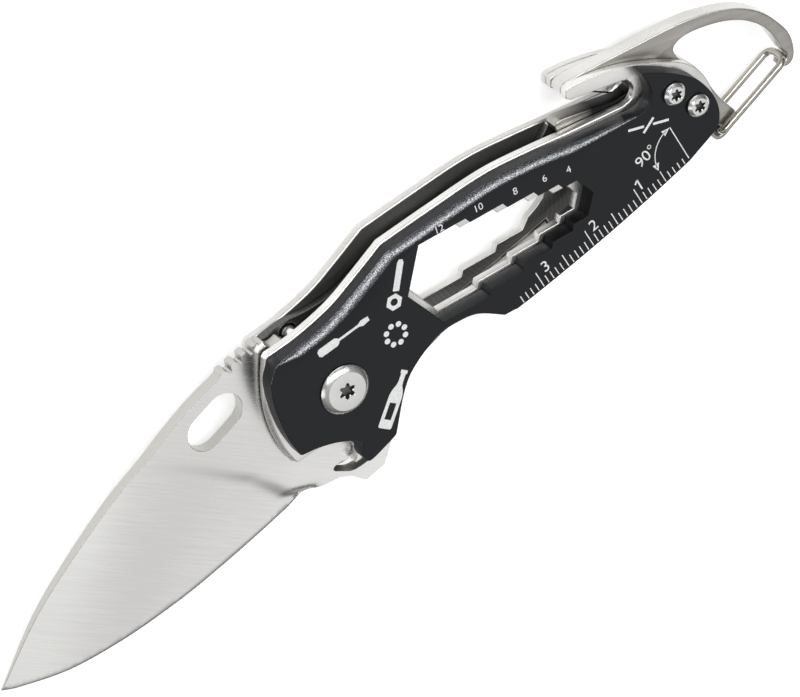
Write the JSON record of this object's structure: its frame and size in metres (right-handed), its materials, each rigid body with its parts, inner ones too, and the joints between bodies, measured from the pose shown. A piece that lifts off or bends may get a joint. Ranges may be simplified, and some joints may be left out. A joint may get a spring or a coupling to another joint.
{
  "type": "folding multi tool",
  "caption": "Pocket multi tool with a folding blade, stepped hex wrench, bottle opener, cord cutter and a carabiner hook with a sprung wire gate",
  "frame": {"origin": "bottom centre of the tool's box, with the blade open and the tool lying on its back", "axes": "+X from the blade tip to the carabiner, +Y towards the spine, +Z out of the black scale"},
  "size_m": [0.1584, 0.0344, 0.0125],
  "materials": {
    "black_anodised": "bead-blasted aluminium, hard anodised charcoal black, with light laser-etched marks",
    "liner_steel": "stamped stainless plate, satin faces and bright edges",
    "blade_steel": "satin stainless, ground diagonally",
    "hook_steel": "bead-blasted warm grey stainless with bright edges",
    "polished_steel": "polished stainless",
    "bronze": "rolled phosphor bronze"
  },
  "bodies": {
    "handle": {"front_scale": "black_anodised", "front_liner": "liner_steel", "lock_liner": "liner_steel", "back_plate": "liner_steel", "front_washer": "bronze", "back_washer": "bronze", "pivot_screw": "polished_steel", "pivot_barrel": "polished_steel", "stop_pin": "polished_steel", "carabiner_hook": "hook_steel", "cord_cutter": "blade_steel", "rear_screw_upper": "polished_steel", "rear_screw_lower": "polished_steel", "rear_barrel_upper": "polished_steel", "rear_barrel_lower": "polished_steel"},
    "blade": {"blade": "blade_steel"},
    "lock": {"lock_bar": "liner_steel", "detent_ball": "polished_steel"},
    "gate": {"gate_wire": "polished_steel"}
  },
  "joints": [
    {"name": "blade_pivot", "type": "hinge", "parent": "handle", "child": "blade", "pos_m": [-0.0106, 0.0027, 0.0054], "axis": [0, 0, 1], "range_deg": [0, 169]},
    {"name": "gate_hinge", "type": "hinge", "parent": "handle", "child": "gate", "pos_m": [0.0617, -0.0097, 0.0054], "axis": [0, 0, 1], "range_deg": [0, 28], "stiffness_Nm_per_rad": 0.03, "springref_deg": -17.19},
    {"name": "lock_flex", "type": "hinge", "parent": "handle", "child": "lock", "pos_m": [0.0314, -0.0056, 0.00315], "axis": [0, 1, 0], "range_deg": [0, 0.35], "stiffness_Nm_per_rad": 0.5, "springref_deg": 0.34}
  ]
}
